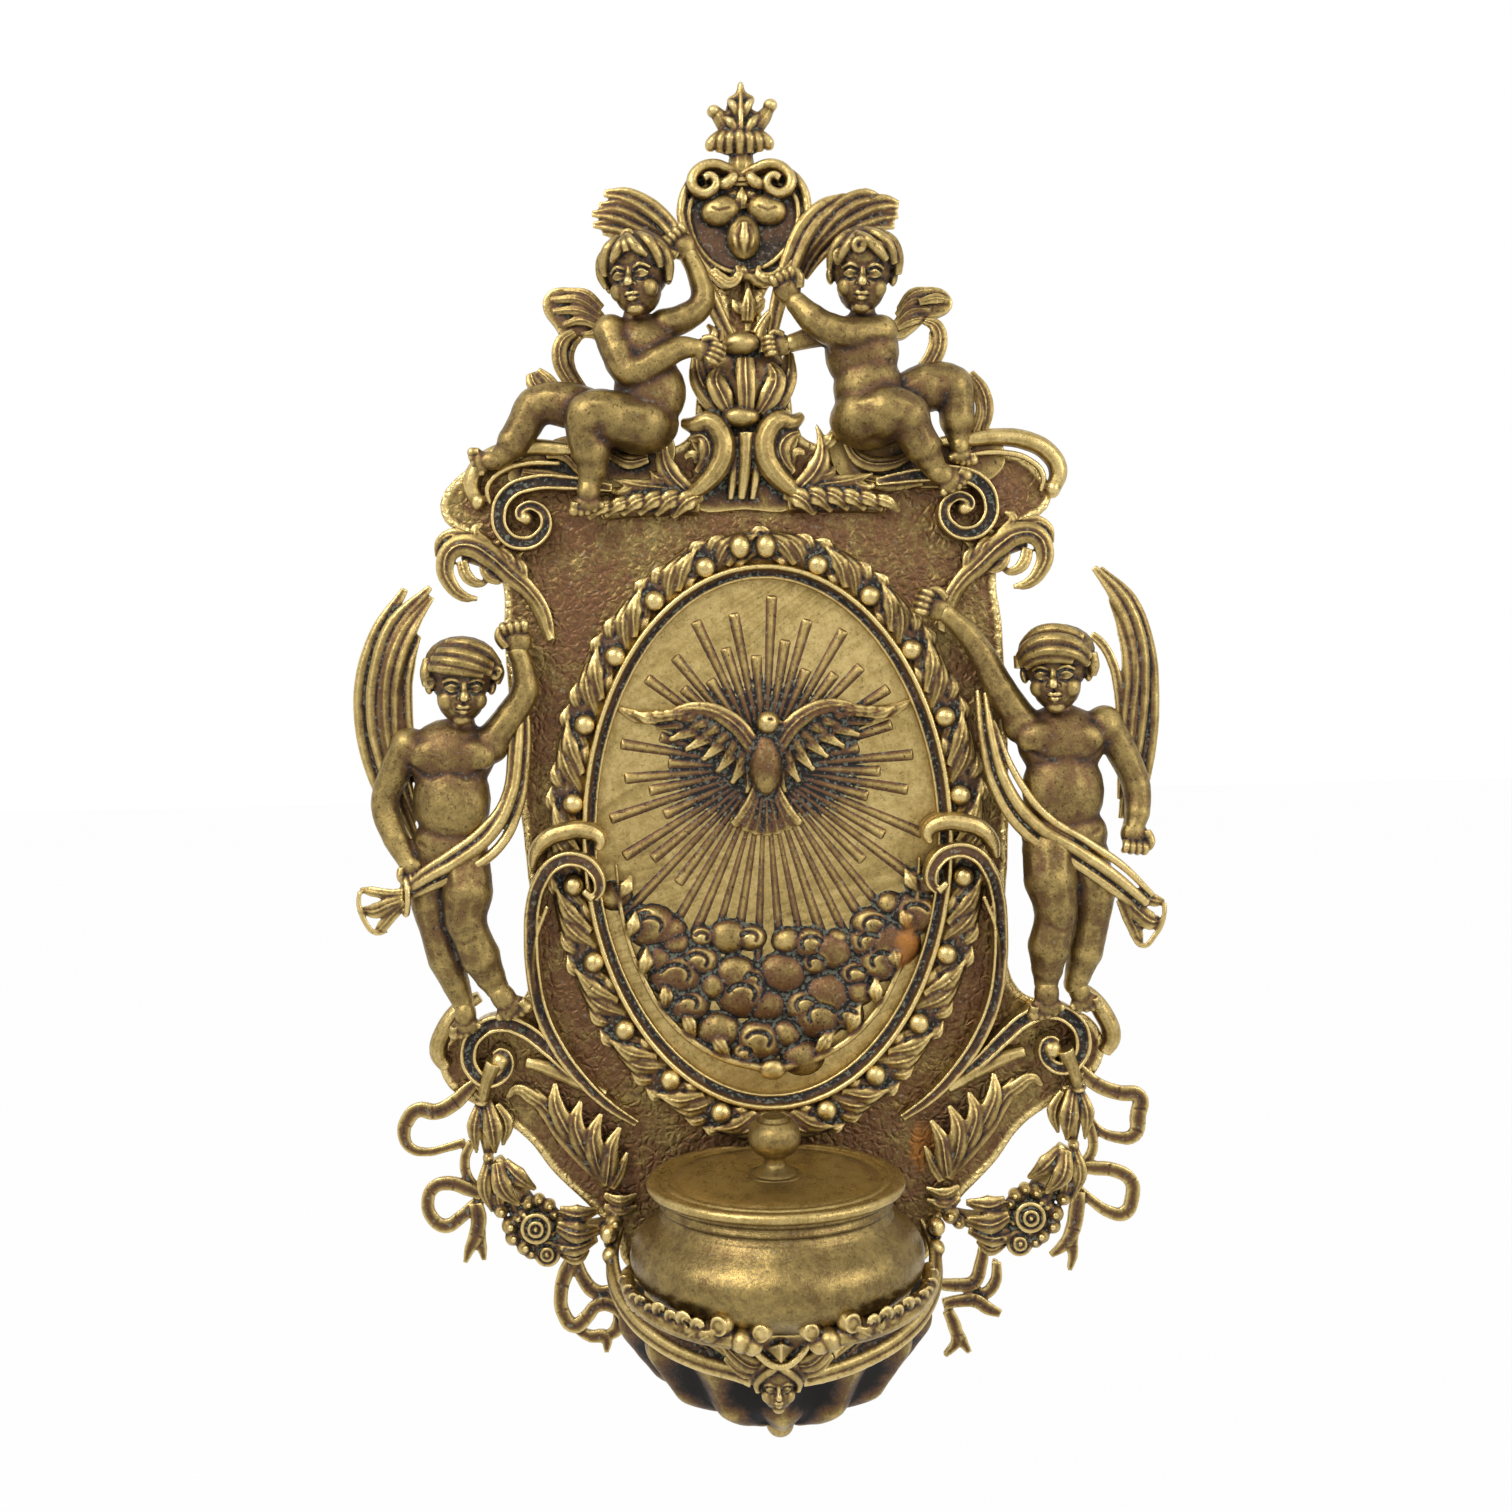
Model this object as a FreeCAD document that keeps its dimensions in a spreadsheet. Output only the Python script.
import FreeCAD, Part
import math
import os
from FreeCAD import Placement, Rotation, Vector

# Holy water stoup of cast brass: a pierced back plate hung on a wall, an oval medallion in a leaf wreath,
# four children in relief with palms, a crest, and an oval bowl with a lift-off lid on a bracket.
# X is to the right, Z up, and -Y away from the wall. The origin is on the wall, behind the oval's centre.
# A point of the relief is written (across, out, up): millimetres right, away from the wall, and up.

doc = FreeCAD.newDocument("HolyWaterStoup")
sheet = doc.addObject("Spreadsheet::Sheet", "Dimensions")

DIMENSIONS = (
    ("plate_depth", 3.0),        # back plate, wall to front face
    ("plaque_depth", 1.6),       # oval medallion's plate
    ("sight_width", 84.0),       # oval opening that shows the medallion
    ("sight_height", 127.0),
    ("rebate", 1.7),             # width of the medallion's edge behind the moulding
    ("moulding_width", 3.6),
    ("moulding_rise", 4.6),
    ("wreath_width", 8.6),
    ("wreath_rise", 3.0),
    ("berry_radius", 1.9),
    ("crest_lean", -3.3),        # the crest stands this far left of the oval's axis
    ("head_radius", 7.8),        # half the width of a child's head
    ("strap_depth", 4.5),
    ("leaf_depth", 3.2),
    ("palm_depth", 2.6),
    ("ribbon_depth", 2.2),
    ("shield_depth", 4.0),
    ("shield_hollow", 2.6),
    ("rivet_radius", 0.7),
    ("eye_radius", 2.6),
    ("eye_depth", 1.6),
    ("bowl_axis_across", -1.5),
    ("bowl_axis_out", 32.0),
    ("bowl_half_width", 33.5),
    ("bowl_depth_ratio", 0.85),  # front-to-back size of the oval bowl over its width
    ("bowl_wall", 1.6),
    ("bowl_rim_up", -77.0),
    ("bowl_height", 29.0),
    ("lid_half_width", 29.5),
    ("lid_edge", 2.4),
    ("lid_lip", 3.0),
    ("lid_back_out", 10.0),
    ("knob_radius", 6.0),
    ("knob_rise", 15.5),
    ("fit_gap", 0.3),
    ("ball_radius", 3.2),
)

for row, (name, number) in enumerate(DIMENSIONS, start=1):
    sheet.set(f"A{row}", name)
    sheet.set(f"B{row}", str(number))
    sheet.setAlias(f"B{row}", name)
doc.recompute()


def dim(name):
    return float(sheet.get(name))


def bind(item, **sizes):
    """Binds properties of an object to expressions of the sheet's cells."""
    for name, text in sizes.items():
        item.setExpression(name, text.replace("$", sheet.Name + "."))
    return item


def at(across, out, up):
    return Vector(across, -out, up)


# ---- forms of the relief -------------------------------------------------------------------------

UPRIGHT = Rotation(Vector(1, 0, 0), 90)  # a sketch's own axes to across and up, its normal away from the wall


def closed_curve(points):
    curve = Part.BSplineCurve()
    curve.interpolate([Vector(x, z, 0) for x, z in points], PeriodicFlag=True)
    return curve


def open_curve(points):
    curve = Part.BSplineCurve()
    curve.interpolate([Vector(x, z, 0) for x, z in points])
    return curve


def ellipse(across, up, half_width, half_height):
    """An upright ellipse; the curve's major radius lies along its longer side."""
    centre = Vector(across, up, 0)
    if half_width >= half_height:
        return Part.Ellipse(centre, half_width, half_height)
    return Part.Ellipse(centre + Vector(0, half_height, 0), centre - Vector(half_width, 0, 0), centre)


def cut_out(name, curves, back, depth, bevel=None):
    """A piece of one outline, padded away from the wall from back, with a bevelled front edge if asked."""
    body = doc.addObject("PartDesign::Body", name)
    plane = [f for f in body.Origin.OriginFeatures if f.Role == "XZ_Plane"][0]
    sketch = body.newObject("Sketcher::SketchObject", name + "_outline")
    sketch.AttachmentSupport = (plane, [""])
    sketch.MapMode = "FlatFace"
    bind(sketch, **{"AttachmentOffset.Base.z": back})
    for curve in curves:
        sketch.addGeometry(curve, False)
    pad = body.newObject("PartDesign::Pad", name + "_pad")
    pad.Profile = sketch
    bind(pad, Length=depth)
    doc.recompute()
    if bevel:
        front = min(pad.Shape.BoundBox.YMin, 0) + 1e-4
        edges = [f"Edge{n}" for n, e in enumerate(pad.Shape.Edges, start=1) if e.BoundBox.YMax < front]
        chamfer = body.newObject("PartDesign::Chamfer", name + "_bevel")
        chamfer.Base = (pad, edges)
        bind(chamfer, Size=bevel)
    return body


def band_outline(points, half_width):
    """The closed outline of a strap of even width along a smooth path, with round ends."""
    path = open_curve(points)
    first, last = path.FirstParameter, path.LastParameter
    steps = max(8, 4 * len(points))
    sides = ([], [])
    for n in range(steps + 1):
        place = first + (last - first) * n / steps
        spot = path.value(place)
        along = Vector(*path.tangent(place)[0])
        across = Vector(-along.y, along.x, 0) * half_width
        sides[0].append(spot + across)
        sides[1].append(spot - across)
    cap_start = path.value(first) - Vector(*path.tangent(first)[0]) * half_width
    cap_end = path.value(last) + Vector(*path.tangent(last)[0]) * half_width
    outline = sides[0] + [cap_end] + sides[1][::-1] + [cap_start]
    return closed_curve([(v.x, v.y) for v in outline])


def band(name, points, half_width, back, depth):
    """A strap of even width along a smooth path on the front of the plate."""
    return cut_out(name, [band_outline(points, half_width)], back, depth)


def ball(name, centre, ratio):
    item = doc.addObject("Part::Sphere", name)
    bind(item, Radius=f"$head_radius * {ratio}")
    item.Placement = Placement(at(*centre), Rotation())
    return item


def mound(name, centre, across, out, up, lean=0):
    """An egg shape with its half sizes in head radii, leaned clockwise about the viewing line."""
    item = doc.addObject("Part::Ellipsoid", name)
    bind(
        item,
        Radius1=f"$head_radius * {up}",
        Radius2=f"$head_radius * {across}",
        Radius3=f"$head_radius * {out}",
    )
    item.Placement = Placement(at(*centre), Rotation(Vector(0, 1, 0), lean))
    return item


def tapered(name, start, end, start_ratio, end_ratio):
    """A round limb from one point to another, its two radii in head radii."""
    a, b = at(*start), at(*end)
    item = doc.addObject("Part::Cone", name)
    bind(
        item,
        Radius1=f"$head_radius * {start_ratio}",
        Radius2=f"$head_radius * {end_ratio}",
    )
    item.Height = a.distanceToPoint(b)
    item.Placement = Placement(a, Rotation(Vector(0, 0, 1), b - a))
    return item


SLIMMER = 0.9  # a limb's radius beside its joint's, so that the joint stands out a little


def limb(name, joints):
    """Tapered lengths between joints, with a ball in each; a joint is (point, ratio)."""
    items = []
    for n, (point, ratio) in enumerate(joints):
        items.append(ball(f"{name}_joint_{n}", point, ratio))
        if n:
            before, before_ratio = joints[n - 1]
            ends = (before_ratio * SLIMMER, ratio * SLIMMER)
            items.append(tapered(f"{name}_length_{n}", before, point, *ends))
    return items


def fused(name, items):
    if len(items) == 1:
        return items[0]
    item = doc.addObject("Part::MultiFuse", name)
    item.Refine = False
    item.Shapes = items
    return item


def cut_away(name, base, tools):
    item = doc.addObject("Part::Cut", name)
    item.Base = base
    item.Tool = fused(name + "_tools", tools)
    return item


def mirror_of(name, source, axis):
    """The same piece on the other side of an upright plane."""
    item = doc.addObject("Part::Mirroring", name)
    item.Source = source
    item.Base = Vector(axis, 0, 0)
    item.Normal = Vector(1, 0, 0)
    return item


def mirrored(points, axis):
    return [(2 * axis - x, z) for x, z in points]


def both_sides(points, axis):
    """The rest of a symmetrical closed outline, from its right-hand points, top to bottom."""
    return points + [(2 * axis - x, z) for x, z in reversed(points)]


# ---- the seated pieces ----------------------------------------------------------------------------

seated = {}
trimmers = {}

wall_side = doc.addObject("Part::Box", "wall_side")
wall_side.Length = 400
wall_side.Width = 60
wall_side.Height = 500
wall_side.Placement = Placement(Vector(-200, 0, -250), Rotation())
bind(wall_side, **{".Placement.Base.y": "-$plate_depth"})


def close_box(item):
    """The box that a piece really fills, which its curves' own control points can overstate."""
    return item.Shape.optimalBoundingBox(False)


SLIVER = 0.02  # cubic millimetres; two pieces that share less than this only touch


def seat(label, item, flat_back=False, reach=None, trims=True, clear_of=()):
    """Trims a piece to the faces of those already seated that it meets, and keeps it under its label.

    reach is a plain solid that stands for a finely cut piece when later ones are trimmed to it. A piece
    that no later one can reach doesn't trim them. clear_of names neighbours that it only passes.
    """
    doc.recompute()
    box = close_box(item)
    tools = [
        other
        for name, (other, its_box) in trimmers.items()
        if name not in clear_of
        and box.intersect(its_box)
        and item.Shape.common(other.Shape).Volume > SLIVER
    ]
    if flat_back:
        tools.append(wall_side)
    for n, tool in enumerate(tools):
        trimmed = doc.addObject("Part::Cut", f"{label}_trim_{n}")
        trimmed.Refine = False
        trimmed.Base = item
        trimmed.Tool = tool
        item = trimmed
    doc.recompute()
    item.Label = label
    seated[label] = item
    if trims:
        trimmers[label] = (reach or item, close_box(reach or item))
    return item


# ---- back plate ----------------------------------------------------------------------------------


def axis_at(up):
    """The relief's own middle line: upright over the oval, then drifting to the leaning crest."""
    return dim("crest_lean") * min(max(up / 75, 0), 1)


def about_axis(points):
    right = [(axis_at(z) + x, z) for x, z in points]
    left = [(axis_at(z) - x, z) for x, z in reversed(points) if x > 0]
    return right + left


PLATE_EDGE = (  # half width from the middle line, and height
    (0, 161), (9, 158), (13, 150), (10, 141), (5, 134), (4.5, 127), (9, 119), (11, 108), (13, 99),
    (25, 95), (44, 96), (58, 95), (71, 90), (75, 82), (67, 75), (61, 66), (61, 50), (60.5, 20),
    (59, -5), (58, -26), (61, -40), (70, -44), (80, -49), (81, -58), (71, -66), (61, -73), (54, -82),
    (45, -91), (39, -98), (37, -105), (28, -110), (0, -112),
)

plaque_half_width = dim("sight_width") / 2 + dim("rebate")
plaque_half_height = dim("sight_height") / 2 + dim("rebate")
eye_up = 152
rivet_spots = [(plaque_half_width - 0.85, 0), (0.85 - plaque_half_width, 0)]
rivet_spots += [(0, plaque_half_height - 0.85), (0, 0.85 - plaque_half_height)]
eye_rivet_spots = [(dim("crest_lean") + side, 143.5) for side in (-3, 3)]


def pin(name, across, up, back, depth, radius):
    item = doc.addObject("Part::Cylinder", name)
    bind(item, Radius=radius, Height=depth)
    item.Placement = Placement(at(across, 0, up), UPRIGHT)
    bind(item, **{".Placement.Base.y": f"-({back})"})
    return item


plate = cut_out(
    "plate_pad",
    [
        closed_curve(about_axis(PLATE_EDGE)),
        ellipse(0, 0, plaque_half_width, plaque_half_height),
        Part.Circle(Vector(dim("crest_lean"), eye_up, 0), Vector(0, 0, 1), 5),
    ],
    "0",
    "$plate_depth",
)
eye_pocket = cut_out(
    "eye_pocket",
    [Part.Circle(Vector(dim("crest_lean"), eye_up, 0), Vector(0, 0, 1), 7)],
    "0",
    "$eye_depth",
)
tab_pocket = doc.addObject("Part::Box", "tab_pocket")
tab_pocket.Length = 12
tab_pocket.Height = 14
bind(tab_pocket, Width="$eye_depth")
tab_pocket.Placement = Placement(Vector(dim("crest_lean") - 6, 0, 139), Rotation())
bind(tab_pocket, **{".Placement.Base.y": "-$eye_depth"})
eye_pins = [
    pin(f"eye_rivet_{n}", x, z, "0", "$plate_depth", "$rivet_radius * 1.3")
    for n, (x, z) in enumerate(eye_rivet_spots)
]
seat("back_plate", cut_away("plate_cut", plate, [eye_pocket, tab_pocket] + eye_pins), trims=False)

eye_tab = doc.addObject("Part::Box", "eye_tab")
eye_tab.Length = 11.4
eye_tab.Height = 13
bind(eye_tab, Width="$eye_depth")
eye_tab.Placement = Placement(Vector(dim("crest_lean") - 5.7, 0, 139.3), Rotation())
bind(eye_tab, **{".Placement.Base.y": "-$eye_depth"})
eye_ring = pin("eye_ring", dim("crest_lean"), eye_up, "0", "$eye_depth", "$eye_radius + 3.4")
eye_hole = pin("eye_hole", dim("crest_lean"), eye_up, "0", "$eye_depth", "$eye_radius")
eye_solid = cut_away("eye_solid", fused("eye_blank", [eye_tab, eye_ring]), [eye_hole] + eye_pins)
seat("hanging_eye", eye_solid, trims=False)
eye_rivets = doc.addObject("Part::Compound", "eye_rivet_pair")
eye_rivets.Links = eye_pins
eye_rivets.Label = "eye_rivets"
doc.recompute()
seated["eye_rivets"] = eye_rivets

# ---- the oval: medallion, its backing, moulding and wreath -----------------------------------------


def oval_disc(name, back, depth, half_width, half_height):
    """A flat oval with an upright long axis."""
    line = doc.addObject("Part::Ellipse", name + "_line")
    bind(line, MinorRadius=half_width, MajorRadius=half_height)
    line.Placement = Placement(at(0, 0, 0), Rotation(Vector(0, 0, 1), Vector(1, 0, 0), Vector(0, 1, 0), "XYZ"))
    bind(line, **{".Placement.Base.y": f"-({back})"})
    disc = doc.addObject("Part::Extrusion", name)
    disc.Base = line
    disc.DirMode = "Custom"
    disc.Dir = (0, -1, 0)
    disc.Solid = True
    bind(disc, LengthFwd=depth)
    return disc


def oval_loft(name, stations):
    """A solid between upright ovals; a station is (out, half width, half height) in expressions."""
    lines = []
    for n, (out, half_width, half_height) in enumerate(stations):
        line = doc.addObject("Part::Ellipse", f"{name}_line_{n}")
        bind(line, MinorRadius=half_width, MajorRadius=half_height)
        turn = Rotation(Vector(0, 0, 1), Vector(1, 0, 0), Vector(0, 1, 0), "XYZ")
        line.Placement = Placement(at(0, 0, 0), turn)
        bind(line, **{".Placement.Base.y": f"-({out})"})
        lines.append(line)
    loft = doc.addObject("Part::Loft", name)
    loft.Sections = lines
    loft.Solid = True
    loft.Ruled = True
    return loft


HALF_WIDE = "$sight_width / 2"
HALF_TALL = "$sight_height / 2"
rivet_pins = [
    pin(f"plaque_rivet_{n}", x, z, "0.3", "$plate_depth + 0.7", "$rivet_radius")
    for n, (x, z) in enumerate(rivet_spots)
]
rivets = doc.addObject("Part::Compound", "plaque_rivet_set")
rivets.Links = rivet_pins
rivets.Label = "plaque_rivets"
doc.recompute()
seated["plaque_rivets"] = rivets

BACKING_DEPTH = "$plate_depth - $plaque_depth"
backing = oval_disc("backing_disc", "0", BACKING_DEPTH, HALF_WIDE + " + $rebate", HALF_TALL + " + $rebate")
heads = [
    pin(f"rivet_sink_{n}", x, z, "0", "0.3", "$rivet_radius") for n, (x, z) in enumerate(rivet_spots)
]
seat("plaque_backing", cut_away("backing_cut", backing, heads + rivet_pins), trims=False)


def glory(across, up, long, short, inner, rays):
    """A star outline of alternate long and short rays about a point."""
    points = []
    for n in range(2 * rays):
        reach = inner if n % 2 else (long if n % 4 else short)
        turn = math.pi * n / rays
        points.append(Vector(across + reach * math.sin(turn), up + reach * math.cos(turn), 0))
    ends = points[1:] + points[:1]
    return [Part.LineSegment(a, b) for a, b in zip(points, ends)]


DOVE_WING = ((2, 20), (10, 27), (20, 30), (25, 26), (21, 20), (14, 15), (6, 11), (1, 12))
DOVE_TAIL = ((2, 10), (6, 1), (5, -4), (0, -6))
medal_front = "$plate_depth"
medal = [
    oval_disc("medal_disc", BACKING_DEPTH, "$plaque_depth", HALF_WIDE + " + $rebate", HALF_TALL + " + $rebate"),
    cut_out("medal_glory", glory(0, 14, 37, 27, 13, 16), medal_front, "0.7"),
    cut_out("dove_wing_right", [closed_curve(DOVE_WING)], medal_front, "2.2", "0.7"),
    cut_out("dove_wing_left", [closed_curve(mirrored(DOVE_WING, 0))], medal_front, "2.2", "0.7"),
    cut_out("dove_tail", [closed_curve(about_axis(DOVE_TAIL))], medal_front, "2.0", "0.6"),
    mound("dove_body", (0, 3, 14), 0.55, 0.6, 1.25),
    mound("dove_head", (0, 5, 25), 0.42, 0.45, 0.5),
]
for n, (x, z, size) in enumerate(((-24, -33, 0.9), (-12, -38, 1.15), (1, -36, 1.3), (14, -39, 1.15), (25, -33, 0.9))):
    medal.append(mound(f"cloud_{n}", (x, 2.5, z), size, 0.45, size * 0.8))
for side in (-1, 1):
    stem = [(side * x, z) for x, z in ((3, -52), (16, -48), (27, -30), (30, -8))]
    medal.append(band(f"sprig_stem_{side + 1}", stem, 0.7, medal_front, "1.2"))
medal_back = doc.addObject("Part::Box", "medal_back")
medal_back.Length = 200
medal_back.Width = 60
medal_back.Height = 200
medal_back.Placement = Placement(Vector(-100, 0, -100), Rotation())
bind(medal_back, **{".Placement.Base.y": f"-({BACKING_DEPTH})"})
medal_tools = [medal_back] + rivet_pins
seat("relief_plaque", cut_away("medal_whole", fused("medal_fused", medal), medal_tools), trims=False)

MOULD = "$moulding_width"
moulding_outer = oval_loft(
    "moulding_outer",
    [
        ("$plate_depth", f"{HALF_WIDE} + {MOULD}", f"{HALF_TALL} + {MOULD}"),
        ("$plate_depth + $moulding_rise * 0.7", f"{HALF_WIDE} + {MOULD}", f"{HALF_TALL} + {MOULD}"),
        ("$plate_depth + $moulding_rise", f"{HALF_WIDE} + {MOULD} * 0.75", f"{HALF_TALL} + {MOULD} * 0.75"),
    ],
)
moulding_inner = oval_loft(
    "moulding_inner",
    [
        ("$plate_depth - 1", HALF_WIDE, HALF_TALL),
        ("$plate_depth + $moulding_rise * 0.3", HALF_WIDE, HALF_TALL),
        ("$plate_depth + $moulding_rise + 0.5", f"{HALF_WIDE} + {MOULD} * 0.6", f"{HALF_TALL} + {MOULD} * 0.6"),
    ],
)
moulding = cut_away("moulding_cut", moulding_outer, [moulding_inner] + rivet_pins)
seat("oval_moulding", moulding, trims=False)


def leaf_wreath():
    """A rounded oval band with slanting leaves across it and a berry at every second leaf."""
    inner_wide = dim("sight_width") / 2 + dim("moulding_width")
    inner_tall = dim("sight_height") / 2 + dim("moulding_width")
    width = dim("wreath_width")
    front = dim("plate_depth") + dim("wreath_rise")
    leaf_line = closed_curve(((-4.5, 0), (-1.3, 2.1), (2.1, 1.8), (4.6, 0), (2.1, -1.8), (-1.3, -2.1)))
    leaf = Part.Face(Part.Wire(leaf_line.toShape())).extrude(Vector(0, 0, 2.6))
    leaves = []
    count = 46
    for n in range(count):
        turn = 2 * math.pi * (n + 0.5) / count
        across = (inner_wide + width / 2) * math.sin(turn)
        up = (inner_tall + width / 2) * math.cos(turn)
        along = math.atan2(-(inner_tall + width / 2) * math.sin(turn), (inner_wide + width / 2) * math.cos(turn))
        slant = 50 if turn < math.pi else -50
        piece = leaf.copy()
        piece.Placement = Placement(
            at(across, front - 1.2, up), UPRIGHT * Rotation(Vector(0, 0, 1), math.degrees(along) + slant)
        )
        leaves.append(piece)
        if n % 2 == 0 and abs(up + 5) > 9:
            leaves.append(Part.makeSphere(dim("berry_radius"), at(across, front + 0.2, up)))
    for side in (-1, 1):
        leaves.append(Part.makeSphere(3.2, at(side * 3.4, front + 0.4, inner_tall + width / 2)))
    item = doc.addObject("Part::Feature", "wreath_leaves")
    item.Shape = leaves[0].multiFuse(leaves[1:])
    return item


wreath_outer = oval_loft(
    "wreath_outer",
    [
        ("$plate_depth", f"{HALF_WIDE} + {MOULD} + $wreath_width", f"{HALF_TALL} + {MOULD} + $wreath_width"),
        (
            "$plate_depth + $wreath_rise * 0.5",
            f"{HALF_WIDE} + {MOULD} + $wreath_width",
            f"{HALF_TALL} + {MOULD} + $wreath_width",
        ),
        (
            "$plate_depth + $wreath_rise",
            f"{HALF_WIDE} + {MOULD} + $wreath_width * 0.8",
            f"{HALF_TALL} + {MOULD} + $wreath_width * 0.8",
        ),
    ],
)
wreath_inner = oval_disc(
    "wreath_inner", "$plate_depth", "$wreath_rise", f"{HALF_WIDE} + {MOULD}", f"{HALF_TALL} + {MOULD}"
)
doc.recompute()
wreath_ring = cut_away("wreath_ring", wreath_outer, [wreath_inner])
wreath_reach = oval_disc(
    "wreath_reach",
    "$plate_depth",
    "$wreath_rise + 1.5",
    f"{HALF_WIDE} + {MOULD} + $wreath_width",
    f"{HALF_TALL} + {MOULD} + $wreath_width",
)
wreath = fused("wreath_fused", [wreath_ring, leaf_wreath()])
seat("leaf_wreath", wreath, flat_back=True, reach=wreath_reach)

# ---- bowl, lid and knob --------------------------------------------------------------------------

bowl_across = dim("bowl_axis_across")
bowl_out = dim("bowl_axis_out")


def level_oval(name, up, half_width):
    """A level oval about the bowl's axis, given by expressions for its height and half width."""
    line = doc.addObject("Part::Ellipse", name)
    bind(line, MajorRadius=half_width, MinorRadius=f"({half_width}) * $bowl_depth_ratio")
    line.Placement = Placement(at(bowl_across, bowl_out, 0), Rotation())
    bind(
        line,
        **{
            ".Placement.Base.x": "$bowl_axis_across",
            ".Placement.Base.y": "-$bowl_axis_out",
            ".Placement.Base.z": up,
        },
    )
    return line


def level_loft(name, stations, ruled=False):
    loft = doc.addObject("Part::Loft", name)
    loft.Sections = [level_oval(f"{name}_line_{n}", up, wide) for n, (up, wide) in enumerate(stations)]
    loft.Solid = True
    loft.Ruled = ruled
    return loft


BELLY = (  # drop below the rim over the bowl's height, half width over the widest
    (0.0, 0.80), (0.10, 0.80), (0.19, 0.87), (0.32, 0.965), (0.47, 1.0), (0.62, 0.965), (0.77, 0.85),
    (0.90, 0.62), (1.0, 0.30),
)
outside = [(f"$bowl_rim_up - $bowl_height * {drop}", f"$bowl_half_width * {wide}") for drop, wide in BELLY]
inside = [
    (f"$bowl_rim_up - ($bowl_height - $bowl_wall) * {drop}", f"$bowl_half_width * {wide} - $bowl_wall")
    for drop, wide in BELLY
]
inside = [("$bowl_rim_up + 1", inside[0][1])] + inside[1:]
bowl_body = level_loft("bowl_body", outside)
bowl_hollow = level_loft("bowl_hollow", inside)
bowl_lug = doc.addObject("Part::Box", "bowl_lug")
bowl_lug.Length = 14
bowl_lug.Height = 9
bowl_lug.Width = 6
bowl_lug.Placement = Placement(at(bowl_across - 7, 9, -95), Rotation())
bind(bowl_lug, **{".Placement.Base.y": "-$plate_depth - 6"})
stud = pin("stud_shank", bowl_across, -90.5, "0.4", "$plate_depth + 3", "1.6")
stud_head = pin("stud_head", bowl_across, -90.5, "0.4", "1.2", "3.0")
bowl_stud = fused("bowl_stud_whole", [stud, stud_head])
bowl_stud.Label = "bowl_stud"
doc.recompute()
seated["bowl_stud"] = bowl_stud
trimmers["bowl_stud"] = (bowl_stud, close_box(bowl_stud))
stud_sink = pin("stud_sink", bowl_across, -90.5, "0", "1.6", "3.0")
plate_drilled = cut_away("plate_drilled", seated["back_plate"], [stud_sink, bowl_stud])
seated["back_plate"].Label = "back_plate_undrilled"
plate_drilled.Label = "back_plate"
seated["back_plate"] = plate_drilled
bowl_filled = fused("bowl_filled", [bowl_body, bowl_lug])
seat("bowl", cut_away("bowl_cut", bowl_filled, [bowl_hollow]))

LID_UNDER = "$bowl_rim_up"
LID_TOP = "$bowl_rim_up + $lid_edge"
lid_disc = level_loft(
    "lid_disc",
    [
        (LID_UNDER, "$lid_half_width - 0.9"),
        (LID_UNDER + " + $lid_edge * 0.35", "$lid_half_width"),
        (LID_UNDER + " + $lid_edge * 0.7", "$lid_half_width"),
        (LID_TOP, "$lid_half_width - 0.9"),
    ],
    ruled=True,
)
lid_groove = level_loft(
    "lid_groove",
    [(LID_TOP + " - 0.6", "$lid_half_width - 3.4"), (LID_TOP + " + 1", "$lid_half_width - 2.6")],
    ruled=True,
)
lid_field = level_loft(
    "lid_field",
    [(LID_TOP + " - 1.2", "$lid_half_width - 4.9"), (LID_TOP + " - 0.05", "$lid_half_width - 5.4")],
    ruled=True,
)
lid_lip = level_loft(
    "lid_lip",
    [
        (LID_UNDER + " - $lid_lip", "$bowl_half_width * 0.8 - $bowl_wall - $fit_gap"),
        (LID_UNDER + " + 0.2", "$bowl_half_width * 0.8 - $bowl_wall - $fit_gap"),
    ],
    ruled=True,
)
lid_lip_hollow = level_loft(
    "lid_lip_hollow",
    [
        (LID_UNDER + " - $lid_lip - 1", "$bowl_half_width * 0.8 - $bowl_wall - 1.8"),
        (LID_UNDER, "$bowl_half_width * 0.8 - $bowl_wall - 1.8"),
    ],
    ruled=True,
)


def turned(label, profile):
    """A piece turned about the bowl's upright axis; the profile is (radius, height over the lid's top)."""
    body = doc.addObject("PartDesign::Body", label)
    plane = [f for f in body.Origin.OriginFeatures if f.Role == "XZ_Plane"][0]
    sketch = body.newObject("Sketcher::SketchObject", label + "_profile")
    sketch.AttachmentSupport = (plane, [""])
    sketch.MapMode = "FlatFace"
    ends = profile[1:] + profile[:1]
    for (r0, z0), (r1, z1) in zip(profile, ends):
        sketch.addGeometry(Part.LineSegment(Vector(r0, z0, 0), Vector(r1, z1, 0)), False)
    spin = body.newObject("PartDesign::Revolution", label + "_turned")
    spin.Profile = sketch
    spin.ReferenceAxis = (sketch, ["V_Axis"])
    spin.Angle = 360
    body.Placement = Placement(at(bowl_across, bowl_out, 0), Rotation())
    bind(body, **{".Placement.Base.z": LID_TOP})
    return body


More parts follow.
